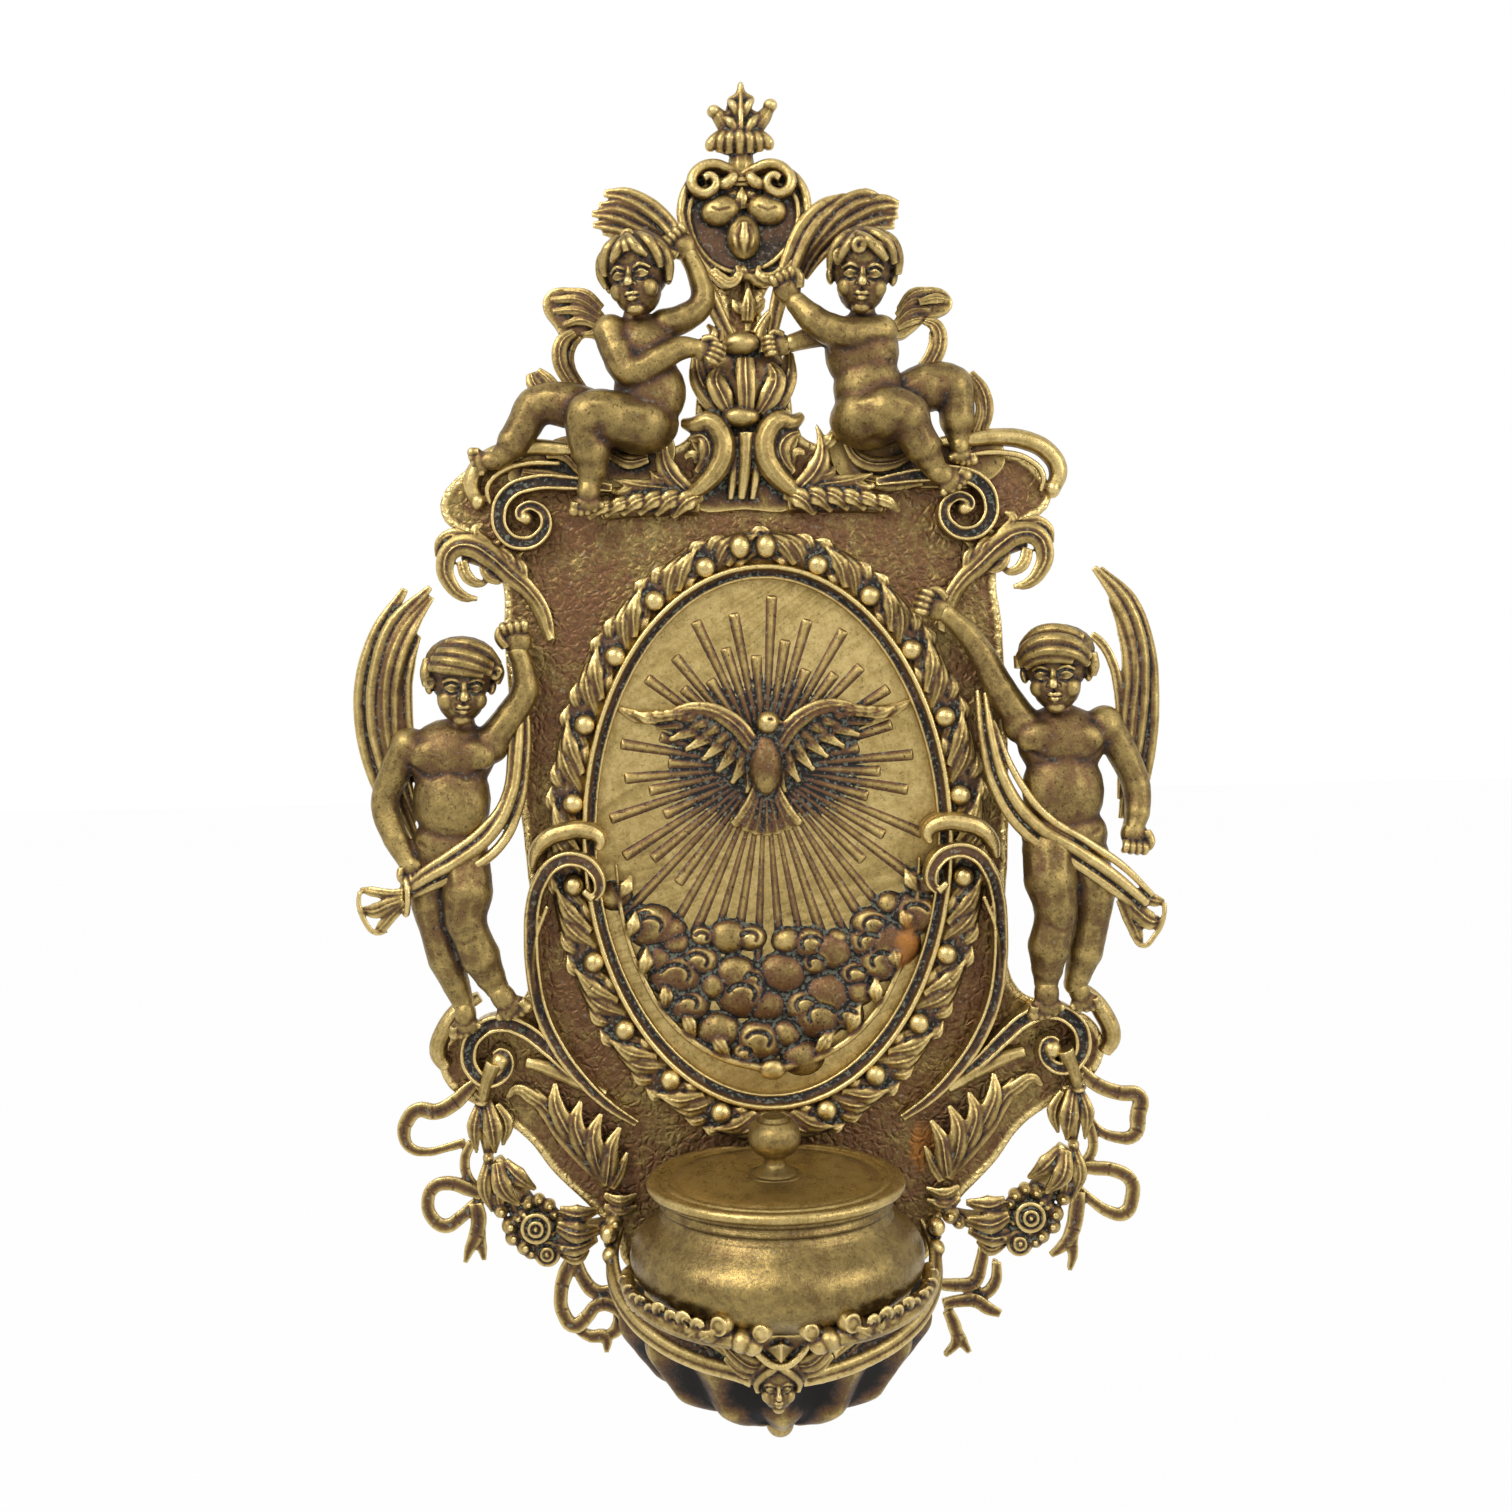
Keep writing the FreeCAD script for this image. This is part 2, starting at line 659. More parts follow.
def knob_profile():
    """Collar, thin neck, and a round knob with a flat ringed top."""
    r = dim("knob_radius")
    rise = dim("knob_rise")
    centre = rise - r * 0.86
    low = -dim("lid_edge") - 1.0
    points = [(0, low), (3.2, low), (3.2, -dim("lid_edge")), (1.6, -dim("lid_edge")), (1.6, -1.2)]
    points += [(6.0, -1.2), (6.0, -0.4), (5.4, 0.6), (4.2, 1.0), (3.4, 2.0), (2.7, 3.4)]
    for turn in range(-65, 60, 15):
        slope = math.radians(turn)
        points.append((r * math.cos(slope), centre + r * math.sin(slope)))
    points += [(3.4, rise - 0.6), (2.6, rise - 0.9), (2.2, rise - 0.1), (1.4, rise), (0, rise)]
    return points


knob = turned("knob_turned", knob_profile())
lid_bore = doc.addObject("Part::Cylinder", "lid_bore")
lid_bore.Height = 8
lid_bore.Radius = 1.6
lid_bore.Placement = Placement(at(bowl_across, bowl_out, 0), Rotation())
bind(lid_bore, **{".Placement.Base.z": LID_UNDER + " - 1"})
lid_blank = fused("lid_blank", [cut_away("lid_grooved", lid_disc, [lid_groove]), lid_field])
lid_hollowed = cut_away("lid_lip_ring", lid_lip, [lid_lip_hollow])
doc.recompute()
seat("lid_knob", knob)
lid_back = doc.addObject("Part::Box", "lid_back")  # filed flat, so that the lid lifts clear of the wreath
bind(lid_back, Length="$lid_half_width * 2", Width="$lid_back_out", Height="10")
bind(
    lid_back,
    **{
        ".Placement.Base.x": "$bowl_axis_across - $lid_half_width",
        ".Placement.Base.y": "-$lid_back_out",
        ".Placement.Base.z": LID_UNDER + " - 5",
    },
)
lid_whole = fused("lid_fused", [lid_blank, lid_hollowed])
seat("lid", cut_away("lid_filed", lid_whole, [lid_back]))
trimmers["bowl"] = (bowl_filled, close_box(bowl_filled))  # nothing else may stand inside the bowl

# ---- low relief on the plate: scrolls, leaves and palms --------------------------------------------

FRONT = "$plate_depth"
STRAP = "$strap_depth"
OVER_WREATH = "$plate_depth + $wreath_rise + 2.3"  # clear of the wreath's berries


def scroll(label, points, half_width, rise=STRAP):
    """A strap with a raised rib along its middle."""
    strap = band(label + "_strap", points, half_width, FRONT, rise)
    rib = band(label + "_rib", points, half_width * 0.4, f"{FRONT} + {rise} - 0.2", "1.2")
    return fused(label + "_scroll", [strap, rib])


def veined_leaf(label, outline, vein, depth="$leaf_depth"):
    """A bevelled leaf with a raised middle vein."""
    blade = cut_out(label + "_blade", [closed_curve(outline)], FRONT, depth, "0.5")
    rib = band(label + "_vein", vein, 0.7, f"{FRONT} + {depth} - 0.2", "1.0")
    return fused(label + "_leaf", [blade, rib])


PEDIMENT_LEFT = (
    (-31, 93), (-39, 92), (-48, 90.5), (-58, 88), (-65, 82.5), (-66, 75.5), (-60.5, 71),
    (-54, 73), (-52, 79), (-55.5, 83.3), (-59.5, 81.5), (-59, 78.5),
)
CARTOUCHE_LEFT = (  # the strap beside the wreath
    (-56.9, -10.5), (-58.8, -18), (-59.3, -28), (-58.8, -38), (-54.5, -51), (-46.5, -62.5), (-36, -70.5),
)
CARTOUCHE_HEAD_LEFT = (  # its curl and cap, over the wreath
    (-41.8, -12), (-42.2, -7.5), (-46.5, -4.3), (-52.5, -4.8), (-56.4, -9), (-58.2, -15),
)
CARTOUCHE_CAP_LEFT = ((-44.5, 0.6), (-50, 1.4), (-55.5, -1.5), (-58.6, -7.5))
LOWER_LEFT = (
    (-60.5, -49.5), (-64, -46.2), (-71, -46), (-77.5, -50), (-79.5, -57), (-75, -61.5), (-70, -59), (-71, -55),
)
LEDGE_LEFT = ((-46, 96), (-58, 96.8), (-68, 94.5), (-73.5, 88.5), (-71.5, 82))
LOWER_LEDGE_LEFT = ((-70, -41.5), (-80, -44.5), (-85, -51), (-83, -58))
PEDIMENT_LEAF = (
    (-16, 97), (-22, 95), (-27, 90), (-33, 87), (-38, 86.2), (-40, 83.5), (-46, 80), (-39, 77.5), (-34, 79.5),
    (-30, 76.8), (-24, 79), (-21, 83), (-15, 86),
)
SIDE_ACANTHUS = (
    (-55, 68), (-63, 69), (-68.5, 74), (-73, 76), (-78, 71.5), (-81.5, 63.5), (-78, 57.5), (-71.5, 58),
    (-67, 62.5), (-64.5, 55.5), (-60, 49.5), (-56.5, 56),
)
APRON_SPRIG = ((-36, -75.5), (-41, -73.5), (-45, -79), (-41.5, -82), (-42.5, -87), (-38, -91.5), (-35, -85), (-34, -79))
CREST_PALM = (
    (-21.5, 147.5), (-25, 153.5), (-30.5, 158.3), (-36, 160), (-40.5, 157), (-36.5, 153.5), (-39, 151),
    (-32, 150.5), (-26, 147.5), (-21.5, 143.5),
)
SIDE_PALM = (
    (-84, 64), (-91, 63), (-98.5, 52), (-103, 36), (-102, 18), (-96, 3), (-91, -5), (-88, -1),
    (-92.5, 10), (-95.5, 22), (-96, 36), (-92.5, 50),
)

SIDES = (("left", -1), ("right", 1))


def place(points, side, axis):
    """Left-hand points as they are, or mirrored to the right about the relief's middle line there."""
    return list(points) if side < 0 else mirrored(points, axis)


PEDIMENT_AXIS = -3.8
pediment_right = scroll("pediment", mirrored(PEDIMENT_LEFT, PEDIMENT_AXIS), 1.9)
for word, side in SIDES:
    ledge = band(f"ledge_{word}", place(LEDGE_LEFT, side, 1.5), 2.2, FRONT, "3.4")
    seat(f"pediment_ledge_{word}", ledge)
    pediment = pediment_right
    if side < 0:
        pediment = mirror_of("pediment_mirrored", pediment_right, PEDIMENT_AXIS)
    seat(f"pediment_scroll_{word}", pediment)
    leaf = place(PEDIMENT_LEAF, side, -4)
    vein = place(((-17, 92), (-28, 87), (-43, 80.5)), side, -4)
    seat(f"pediment_leaf_{word}", veined_leaf(f"pediment_leaf_{word}", leaf, vein))
    leaf = place(SIDE_ACANTHUS, side, -4.0)
    vein = place(((-57, 64), (-66, 67), (-74, 68), (-77.5, 62)), side, -4.0)
    seat(f"side_acanthus_{word}", veined_leaf(f"side_acanthus_{word}", leaf, vein))
    if side < 0:
        strap = scroll("cartouche", CARTOUCHE_LEFT, 1.8, "$strap_depth + 2.0")
        head = band("cartouche_head", CARTOUCHE_HEAD_LEFT, 1.8, OVER_WREATH, "2.8")
        cap = band("cartouche_cap", CARTOUCHE_CAP_LEFT, 2.0, OVER_WREATH, "2.2")
        cartouche = fused("cartouche_whole", [strap, head, cap])
    else:
        cartouche = mirror_of("cartouche_mirrored", cartouche, -1)
    seat(f"cartouche_scroll_{word}", cartouche, clear_of=("leaf_wreath",))
    volute = scroll(f"lower_{word}", place(LOWER_LEFT, side, 0.8), 2.2)
    roll = band(f"lower_roll_{word}", place(LOWER_LEDGE_LEFT, side, 0.8), 1.8, FRONT, "3.2")
    seat(f"lower_volute_{word}", fused(f"lower_pair_{word}", [volute, roll]))
    sprig = place(APRON_SPRIG, side, 0.4)
    vein = place(((-37, -77), (-39.5, -81), (-38, -88)), side, 0.4)
    seat(f"apron_sprig_{word}", veined_leaf(f"apron_sprig_{word}", sprig, vein))

# ---- crest: shield, finial and calyx ---------------------------------------------------------------

SHIELD_EDGE = ((0, 163.5), (6, 166), (12.5, 163), (16.3, 152), (13.5, 142), (7, 136.5), (2.6, 134.5), (0, 137))
SHIELD_FIELD = ((0, 161.5), (6, 163), (11, 160), (13.2, 151.5), (10.8, 144), (5, 139.5), (0, 138.8))
FINIAL_EDGE = (
    (0, 187), (2.4, 183), (2.2, 179.3), (5, 181.6), (8.3, 181), (9, 177.8), (6.2, 175.8), (5, 173.8),
    (8.6, 172), (9, 168.8), (5, 166.3), (0, 165.8),
)
CALYX_EDGE = ((0, 122), (5, 121.5), (9.5, 118.5), (11, 112), (9.5, 105.5), (11, 99), (9, 92), (5, 84.5), (0, 82))
crest_axis = dim("crest_lean") + 0.8
shield_blank = cut_out("shield_blank", [closed_curve(both_sides(list(SHIELD_EDGE), crest_axis))], FRONT, "$shield_depth", "1.0")
shield_field = cut_out(
    "shield_field",
    [closed_curve(both_sides(list(SHIELD_FIELD), crest_axis))],
    "$plate_depth + $shield_depth - 1.4",
    "2",
)
shield_hollow = pin("shield_hollow", dim("crest_lean"), eye_up, "$plate_depth - 1", "$shield_hollow", "6.4")
shield_ornament = [
    mound("shield_volute_left", (crest_axis - 9.6, 6, 161.5), 0.5, 0.45, 0.42),
    mound("shield_volute_right", (crest_axis + 9.6, 6, 161), 0.5, 0.45, 0.42),
    mound("shield_bud_left", (crest_axis - 4.7, 5, 153.4), 0.5, 0.5, 0.42),
    mound("shield_bud_right", (crest_axis + 4.9, 5, 153.2), 0.5, 0.5, 0.42),
    mound("shield_bud_low", (crest_axis, 5, 146.8), 0.42, 0.5, 0.7),
    mound("shield_fleur", (crest_axis, 5, 158.5), 0.25, 0.45, 0.5),
    mound("shield_pendant", (crest_axis, 3.5, 133), 0.35, 0.4, 0.65),
]
shield_dished = cut_away("shield_dished", shield_blank, [shield_field, shield_hollow])
seat("crest_shield", fused("shield_whole", [shield_dished] + shield_ornament), flat_back=True)

finial_blank = cut_out("finial_blank", [closed_curve(both_sides(list(FINIAL_EDGE), crest_axis))], FRONT, "3.4", "0.7")
finial_parts = [
    finial_blank,
    mound("finial_leaf", (crest_axis, 4.5, 180), 0.28, 0.5, 0.85),
    mound("finial_curl_left", (crest_axis - 6.6, 5, 178.6), 0.3, 0.4, 0.3),
    mound("finial_curl_right", (crest_axis + 6.8, 5, 179.2), 0.3, 0.4, 0.3),
    mound("finial_collar", (crest_axis, 4, 169.6), 0.95, 0.5, 0.34),
]
seat("crest_finial", fused("finial_whole", finial_parts), flat_back=True)

calyx_axis = dim("crest_lean") - 0.7
calyx_blank = cut_out("calyx_blank", [closed_curve(both_sides(list(CALYX_EDGE), calyx_axis))], FRONT, "3.4", "0.9")
calyx_parts = [
    calyx_blank,
    mound("calyx_cup", (calyx_axis, 4, 111.5), 1.25, 1.0, 0.95),
    mound("calyx_dome", (calyx_axis, 9.5, 118), 0.6, 0.55, 0.36),
    mound("calyx_boss", (calyx_axis, 7, 100.9), 1.4, 0.95, 0.5),
]
for n in range(-1, 2):
    flute = ((calyx_axis + n * 5.0, 97), (calyx_axis + n * 3.6, 91), (calyx_axis + n * 1.7, 84))
    calyx_parts.append(band(f"calyx_flute_{n + 1}", flute, 1.2, FRONT, "4.6"))
for word, side in SIDES:
    curl = ((13.5, 104), (10.5, 99), (12.5, 92), (11.5, 86), (8.5, 85.5))
    points = [(calyx_axis + side * x, z) for x, z in curl]
    calyx_parts.append(band(f"calyx_curl_{word}", points, 1.1, FRONT, "5.0"))
seat("crest_calyx", fused("calyx_whole", calyx_parts), flat_back=True)

# ---- palms -----------------------------------------------------------------------------------------

PALM = "$palm_depth"
CREST_STEM = ((-11.5, 124.5), (-15, 131.5), (-18.6, 138.5), (-22, 145.5), (-27.5, 152.5), (-34, 157.5))
SIDE_FRONDS = (
    ((-88, 61), (-95, 49), (-99.5, 34), (-98.5, 18), (-92.5, 2)),
    ((-85.5, 61.5), (-92, 50), (-97, 35), (-96.5, 20), (-91, 4)),
)
for word, side in SIDES:
    frond = cut_out(f"crest_frond_{word}", [closed_curve(place(CREST_PALM, side, -2))], FRONT, PALM)
    stem = band(f"crest_stem_{word}", place(CREST_STEM, side, -2), 1.3, FRONT, PALM + " + 1.4")
    seat(f"crest_palm_{word}", fused(f"crest_palm_{word}_whole", [frond, stem]))
blades = [cut_out("side_frond", [closed_curve(SIDE_PALM)], FRONT, PALM, "0.4")]
for n, frond in enumerate(SIDE_FRONDS):
    blades.append(band(f"side_blade_{n}", frond, 0.9, FRONT, PALM + " + 1.0"))
side_palm = fused("side_palm_whole", blades)
seat("side_palm_left", side_palm)
seat("side_palm_right", mirror_of("side_palm_mirrored", side_palm, -3.2))

# ---- the four children -----------------------------------------------------------------------------

CREST_CHILD_LEFT = {
    "head": (-28.5, 11, 138.6, -6),
    "chest": (-27.8, 7, 121, 1.2, 0.95, 1.05),
    "belly": (-25.5, 7, 110, 1.12, 0.95, 1.15),
    "limbs": (
        (((-21.6, 9, 125.5), 0.42), ((-12.5, 8, 125), 0.38), ((-13.8, 10, 139), 0.33)),
        (((-35.7, 11, 124.5), 0.5), ((-29.6, 13, 112.4), 0.5), ((-12.5, 11.5, 119.6), 0.33)),
        (((-24, 9, 102), 0.72), ((-38, 11, 102.5), 0.62), ((-35.6, 9, 84), 0.36), ((-34.5, 9, 81), 0.42)),
        (((-34, 6, 104), 0.66), ((-47.5, 6.5, 105), 0.5), ((-62.5, 6, 95), 0.3)),
    ),
    "wing": ((-36, 127), (-41, 133.5), (-47, 136), (-53.5, 133.5), (-48, 127), (-42, 121.5), (-36.5, 120)),
}
CREST_CHILD_RIGHT = {
    "head": (25.5, 11, 138.8, 4),
    "chest": (26.9, 7.3, 121, 1.25, 0.96, 1.1),
    "belly": (28.4, 7, 109.5, 1.12, 0.95, 1.2),
    "limbs": (
        (((32, 10, 121.5), 0.5), ((18.5, 12, 122.3), 0.48), ((8.5, 10.5, 131), 0.4)),
        (((22.5, 7, 124), 0.42), ((13, 7, 120.5), 0.35), ((5.5, 9, 119.5), 0.3)),
        (((23, 9, 101.5), 0.72), ((37, 12, 101), 0.6), ((47.5, 10, 86), 0.34), ((50, 9.5, 83.5), 0.4)),
        (((37, 6.5, 105), 0.7), ((51.5, 7, 105.5), 0.66), ((50.5, 6.5, 93.5), 0.36)),
    ),
    "wing": ((34, 126), (40, 133), (46, 134.5), (50, 130), (45.5, 125.5), (39.5, 119.5), (34, 119.5)),
}
SIDE_CHILD_LEFT = {
    "head": (-73, 11, 40.4, 5),
    "chest": (-75.2, 7.2, 20.3, 1.42, 0.98, 1.15),
    "belly": (-76.5, 7.5, 3, 1.2, 1.02, 1.5),
    "limbs": (
        (((-86, 8, 22), 0.48), ((-90, 8, 9), 0.42), ((-84, 12, -7), 0.35)),
        (((-65, 8, 25), 0.48), ((-58.6, 8.5, 37.5), 0.42), ((-60.4, 10, 49), 0.38)),
        (((-72, 8, -7), 0.72), ((-68, 10.5, -22), 0.6), ((-66.5, 8.8, -37.6), 0.38), ((-64.2, 10.4, -41.3), 0.42)),
        (((-81, 7, -7), 0.7), ((-82.5, 7, -23), 0.56), ((-74.5, 6.8, -39.2), 0.36), ((-76.8, 8.4, -42.4), 0.4)),
    ),
}
SIDE_CHILD_RIGHT = {
    "head": (70, 11, 42.4, -4),
    "chest": (71.8, 7, 21, 1.35, 0.98, 1.15),
    "belly": (73, 7.5, 3.5, 1.2, 1.02, 1.5),
    "limbs": (
        (((61, 8, 27), 0.5), ((49, 9, 42), 0.42), ((40.5, 9.5, 56), 0.36)),
        (((82.8, 8, 21), 0.48), ((86.5, 8, 9), 0.42), ((84.4, 11, -2), 0.4)),
        (((68.5, 8, -8), 0.74), ((65, 10.5, -24), 0.6), ((66.8, 8.5, -38), 0.38), ((66, 10, -42), 0.42)),
        (((76.5, 7, -9), 0.7), ((79, 7, -25), 0.56), ((76.5, 6.5, -39), 0.36), ((77.5, 8, -42.5), 0.4)),
    ),
}
CHILDREN = {
    "crest_putto_left": CREST_CHILD_LEFT,
    "crest_putto_right": CREST_CHILD_RIGHT,
    "side_putto_left": SIDE_CHILD_LEFT,
    "side_putto_right": SIDE_CHILD_RIGHT,
}


def child(label, pose):
    """A plump child in high relief: head and hair, trunk, and limbs with a ball at each joint."""
    x, out, z, lean = pose["head"]
    items = [
        mound(label + "_head", (x, out, z - 1.2), 0.92, 0.95, 1.18, lean),
        mound(label + "_hair", (x, out - 1.5, z + 3.4), 1.06, 1.0, 0.86, lean),
    ]
    for part in ("chest", "belly"):
        across, depth, up, *sizes = pose[part]
        items.append(mound(f"{label}_{part}", (across, depth, up), *sizes))
    chest = pose["chest"]
    items.append(tapered(label + "_neck", (x, out - 3, z - 6), (chest[0], chest[1], chest[2] + 4), 0.5, 0.7))
    for n, joints in enumerate(pose["limbs"]):
        items += limb(f"{label}_limb_{n}", joints)
    if "wing" in pose:
        items.append(cut_out(label + "_wing", [closed_curve(pose["wing"])], FRONT, "3.0"))
    return fused(label + "_whole", items)


SASHES = {
    "sash_left": ((-55.5, 26), (-57, 14), (-62, 5), (-71, -2.5), (-82, -9.5), (-91, -13)),
    "sash_right": ((48, 26), (51, 13), (58, 4), (68, -3), (80, -11), (92, -17)),
}
SASH_ENDS = {
    "sash_left": ((-89, -10), (-95, -11), (-98, -15), (-93, -18), (-88, -15.5)),
    "sash_right": ((89, -13.5), (95, -15), (94.5, -22), (90, -28), (85.5, -24), (87, -18)),
}
for label, points in SASHES.items():
    cloth = band(label + "_cloth", points, 2.2, "9.5", "5.0")
    fold = band(label + "_fold", points, 0.8, "9.5", "6.0")
    flare = cut_out(label + "_flare", [closed_curve(SASH_ENDS[label])], "9.0", "4.5")
    seat(label, fused(label + "_whole", [cloth, fold, flare]))
for label, pose in CHILDREN.items():
    seat(label, child(label, pose), flat_back=True, clear_of=("cartouche_scroll_left", "cartouche_scroll_right"))

# ---- garlands and ribbons --------------------------------------------------------------------------

GARLAND = (  # along the left-hand swag: point and size in head radii
    (-66.8, -64, 0.34), (-67.2, -69, 0.42), (-67, -75, 0.5), (-63.5, -81, 0.54), (-60, -84, 0.5),
    (-56, -86.5, 0.72), (-49, -90.5, 0.56), (-43.5, -92.5, 0.46), (-39.5, -92.5, 0.36),
)
RIBBON_LOOPS = {
    "left": (
        ((-70, -77), (-78, -66), (-88, -63.5), (-93.5, -70), (-87, -76.5), (-76, -78.5)),
        ((-72, -80), (-82, -82.5), (-88.5, -89), (-84, -97), (-75, -95), (-70, -86)),
        ((-73, -92), (-76.5, -99), (-72.5, -104), (-77, -110)),
    ),
    "right": (
        ((74, -78), (83, -67), (92, -66), (95, -73), (88, -79), (78, -80)),
        ((75, -81), (86, -83), (91, -90), (86, -98), (77, -97), (72, -88)),
        ((74, -94), (77, -101), (71.5, -107), (73, -114)),
    ),
}
BRACKET_RIBBONS = {
    "left": (
        ((-37, -100), (-46, -99), (-54, -104), (-51, -110.5), (-44, -108)),
        ((-47, -108.5), (-48.5, -115), (-43.5, -119), (-40.5, -122), (-41, -127)),
    ),
    "right": (
        ((36, -101), (44, -100), (52, -104), (55, -110), (48, -112)),
        ((46.5, -110.5), (44, -117), (51, -119), (52, -126)),
    ),
}
RIBBON = "$ribbon_depth"
for word, side in SIDES:
    swag = []
    for n, (x, z, size) in enumerate(GARLAND):
        across = x if side < 0 else -x + 2.0 + (z + 92) * 0.08
        swag.append(mound(f"swag_{word}_{n}", (across, 5, z), size, size * 0.9, size * 0.95))
    seat(f"garland_{word}", fused(f"garland_{word}_whole", swag), flat_back=True)
    loops = []
    for n, points in enumerate(RIBBON_LOOPS[word]):
        loops.append(band(f"ribbon_{word}_{n}", points, 1.3, "$plate_depth", RIBBON + f" + {0.8 * n}"))
    seat(f"ribbon_{word}", fused(f"ribbon_{word}_whole", loops))
    loops = []
    for n, points in enumerate(BRACKET_RIBBONS[word]):
        loops.append(band(f"tie_{word}_{n}", points, 1.2, "$plate_depth", RIBBON + f" + {0.8 * n}"))
    seat(f"bracket_ribbon_{word}", fused(f"tie_{word}_whole", loops))

# ---- bracket under the bowl ------------------------------------------------------------------------

SHELL_STATIONS = (  # height, half width, reach from the plate
    (-107.5, 37.5, 33), (-115, 37.2, 33), (-122, 34.5, 31.5), (-128.5, 28.5, 28.5), (-133, 20, 26), (-135.5, 9, 24),
)
SHELL_ACROSS = -1.0
SHELL_TIP_OUT = 20.0
SHELL_LOBES = 7


def shell_section(up, half_width, reach, shrink):
    """Half of a scalloped oval, closed along the plate's front."""
    points = []
    steps = 4 * SHELL_LOBES
    for n in range(steps + 1):
        turn = math.pi * n / steps
        lobe = 1 - 0.055 * abs(math.cos(SHELL_LOBES * turn)) - shrink / half_width
        out = dim("plate_depth") + lobe * reach * math.sin(turn)
        points.append(at(SHELL_ACROSS - lobe * half_width * math.cos(turn), out, up))
    curve = Part.BSplineCurve()
    curve.interpolate(points)
    return Part.Wire([curve.toShape(), Part.LineSegment(points[-1], points[0]).toShape()])


def shell_solid(name, stations, shrink):
    item = doc.addObject("Part::Feature", name)
    item.Shape = Part.makeLoft([shell_section(*station, shrink) for station in stations], True, True)
    return item


shell_outer = shell_solid("shell_outer", SHELL_STATIONS, 0)
inner_stations = [(z + 2.2, a, b) for z, a, b in SHELL_STATIONS[:-1]]
shell_inner = shell_solid("shell_inner", inner_stations, 2.2)
shell_ball = ball("shell_ball", (SHELL_ACROSS, SHELL_TIP_OUT, -136.4), 1)
bind(shell_ball, Radius="$ball_radius")
shell_stem = doc.addObject("Part::Cylinder", "shell_stem")
shell_stem.Radius = 2.0
shell_stem.Height = 4
shell_stem.Placement = Placement(at(SHELL_ACROSS, SHELL_TIP_OUT, -137), Rotation())
shell_cup = cut_away("shell_cup", shell_outer, [shell_inner])
drop_shell = fused("drop_shell_whole", [shell_cup, shell_stem, shell_ball])
seat("drop_shell", drop_shell, flat_back=True, reach=shell_outer)

cradle_outer = level_loft(
    "cradle_outer",
    [
        ("$bowl_rim_up - $bowl_height * 0.62", "$bowl_half_width * 0.985 + 1.8"),
        ("$bowl_rim_up - $bowl_height * 0.78", "$bowl_half_width * 0.86 + 1.8"),
        ("$bowl_rim_up - $bowl_height * 0.88", "$bowl_half_width * 0.68 + 1.8"),
    ],
    ruled=True,
)
mouth = doc.addObject("Part::Box", "cradle_mouth")
mouth.Length = 10
mouth.Width = 90
mouth.Height = 30
mouth.Placement = Placement(Vector(bowl_across - 5, -100, -115), Rotation())
cradle_side = doc.addObject("Part::Box", "cradle_side")
cradle_side.Length = 60
cradle_side.Width = 100
cradle_side.Height = 40
cradle_side.Placement = Placement(Vector(bowl_across - 60, -100, -120), Rotation())
cradle_half = doc.addObject("Part::Common", "cradle_half")
cradle_half.Base = cradle_outer
cradle_half.Tool = cradle_side
cradle = [cut_away("cradle_open", cradle_half, [mouth])]
for name, across, out, up, radius in (("curl", 7.0, 57.0, -98.0, 2.6), ("bud", 12.2, 55.8, -96.6, 2.2)):
    item = doc.addObject("Part::Cylinder", f"cradle_{name}")
    item.Radius = radius
    item.Height = 7.2
    item.Placement = Placement(at(bowl_across - across, out, up), UPRIGHT)
    cradle.append(item)
leaf_rim = seat("leaf_rim_left", fused("leaf_rim_whole", cradle), flat_back=True)
seat("leaf_rim_right", mirror_of("leaf_rim_mirrored", leaf_rim, bowl_across), clear_of=("bowl",))

collar_across = bowl_across - 0.8
collar = doc.addObject("Part::Cone", "collar_cone")
collar.Radius1 = 4.0
collar.Radius2 = 11.0
collar.Height = 6.5
collar.Placement = Placement(at(collar_across, 44, -112), Rotation(Vector(1, 0, 0), -18))
boss = mound("collar_boss", (collar_across, 52.5, -107.5), 0.42, 0.42, 0.42)
seat("shell_collar", fused("collar_whole", [collar, boss]), clear_of=("leaf_rim_left", "leaf_rim_right"))

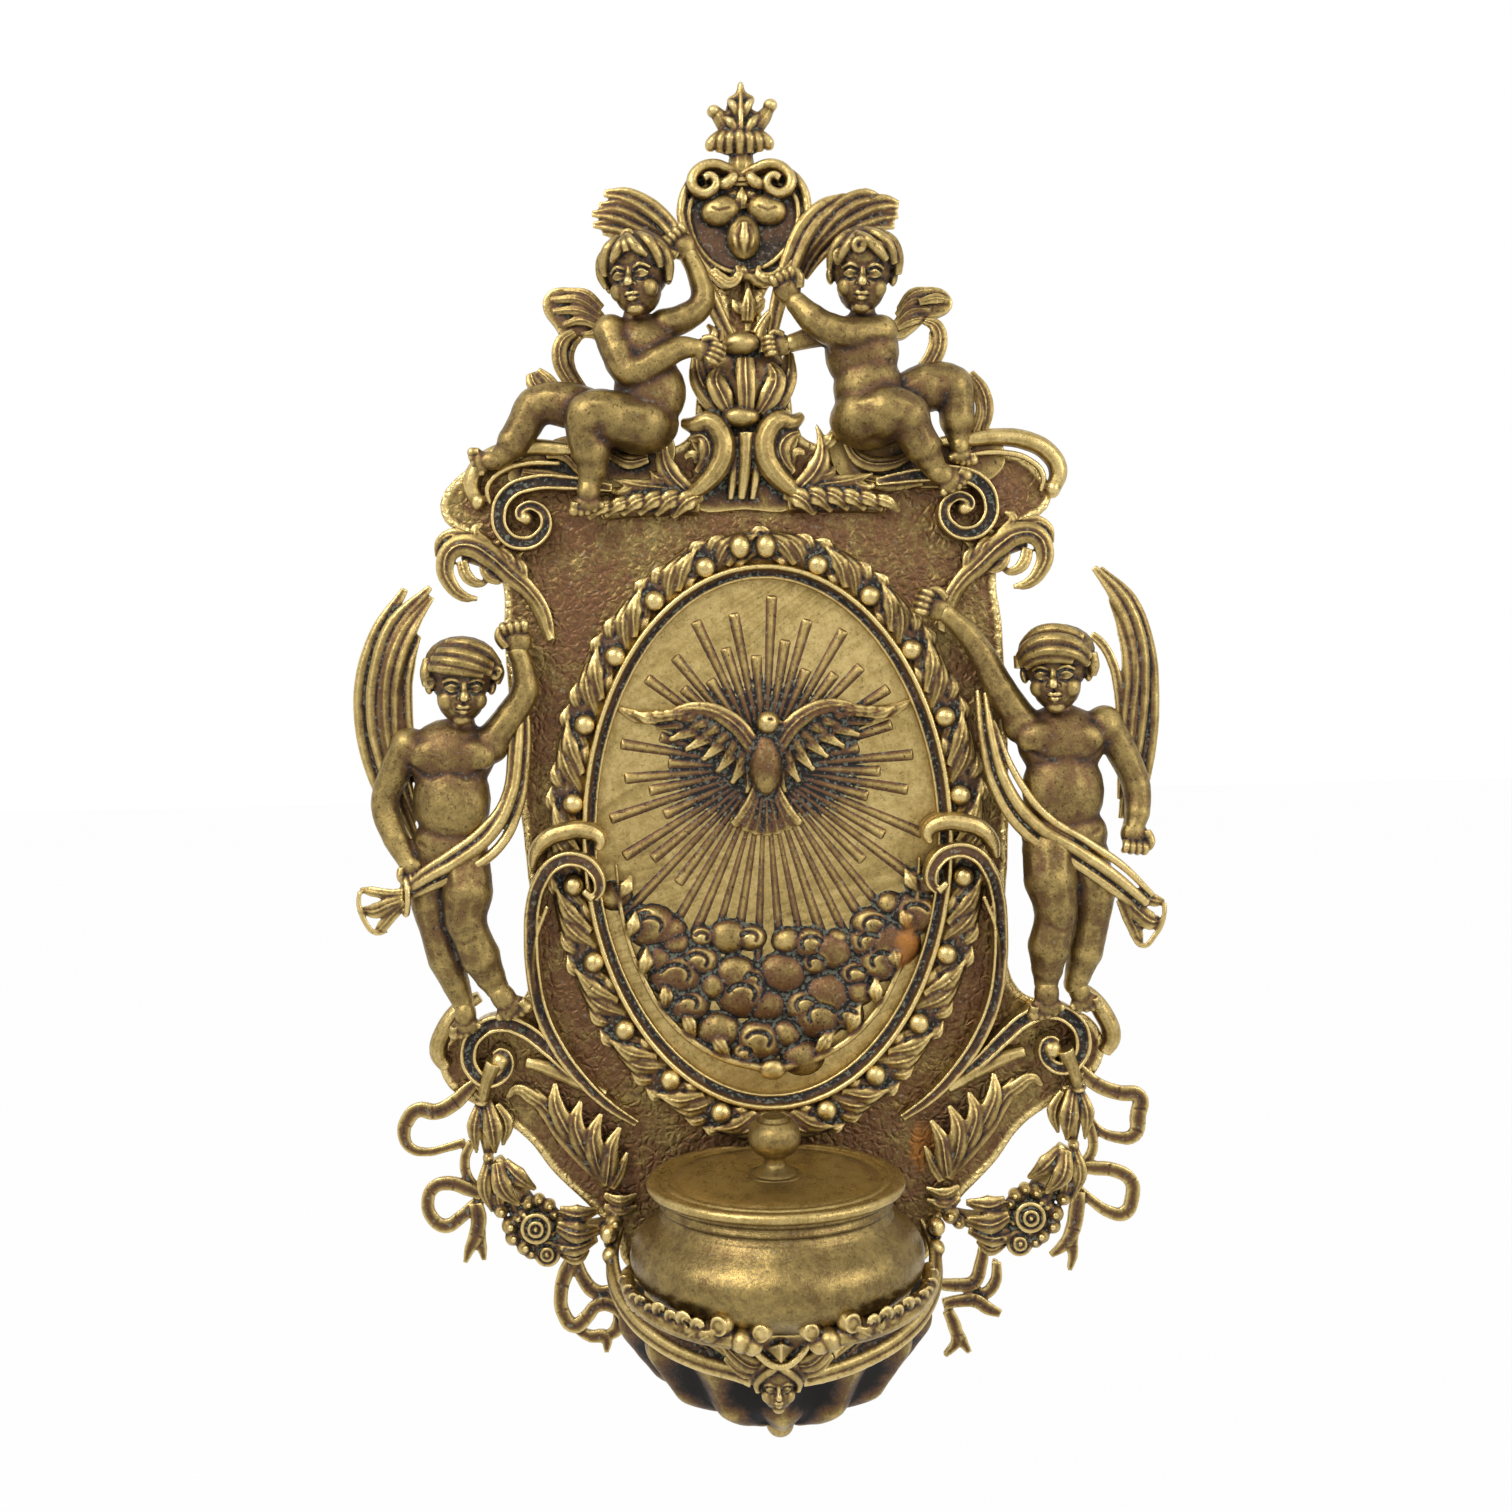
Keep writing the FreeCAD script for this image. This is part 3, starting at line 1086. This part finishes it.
STRAP_ROUTE = (
    (37.5, 1.5, -103), (38.4, 6.5, -106), (37.8, 13, -110.5), (35, 20, -113.8), (29, 28, -115.8),
    (19.5, 36, -116.6), (9, 41.8, -116.3),
)
STRAP_RADIUS = 1.9
face = [
    mound("mask_face", (collar_across - 0.4, 43.5, -116.2), 0.6, 0.6, 0.75),
    mound("mask_hair", (collar_across - 0.4, 42, -112.8), 0.85, 0.66, 0.52),
]
for word, side in SIDES:
    wing_start = (collar_across + side * 3, 41, -114)
    wing_end = (collar_across + side * 12.5, 38, -110.5)
    face.append(tapered(f"mask_wing_{word}", wing_start, wing_end, 0.42, 0.2))
seat("mask_head", fused("mask_head_whole", face))


def round_strap(name, points, radius):
    """A round bar that follows a smooth path in space."""
    path = Part.BSplineCurve()
    path.interpolate(points)
    start = path.value(path.FirstParameter)
    heading = Vector(*path.tangent(path.FirstParameter)[0])
    ring = Part.Wire(Part.Circle(start, heading, radius).toShape())
    item = doc.addObject("Part::Feature", name)
    item.Shape = Part.Wire(path.toShape()).makePipeShell([ring], True, True)
    return item


for word, side in SIDES:
    route = [at(SHELL_ACROSS + side * (x + 0.6), out, z) for x, out, z in STRAP_ROUTE]
    strap = round_strap(f"bracket_bar_{word}", route, STRAP_RADIUS)
    bead = ball(f"bracket_bead_{word}", (SHELL_ACROSS + side * 39.0, 5.0, -101.5), 0.42)
    bead = cut_away(f"bracket_bead_{word}_trim", bead, [seated[f"bracket_ribbon_{word}"]])
    whole = fused(f"bracket_strap_{word}_whole", [strap, bead])
    seat(f"bracket_strap_{word}", whole, flat_back=True, clear_of=tuple(trimmers))

# ---- checks and export -----------------------------------------------------------------------------

doc.recompute()
for item in doc.Objects:
    if "Invalid" in item.State or "Error" in item.State:
        raise RuntimeError(f"{item.Name} did not build: {item.State}")
os.makedirs("parts", exist_ok=True)
for label, item in seated.items():
    if item.Shape.isNull() or not item.Shape.isValid() or not item.Shape.Solids:
        raise RuntimeError(f"{label} has no sound solid")
    item.Shape.exportStep(f"parts/{label}.step")
print(len(seated), "sub-parts")
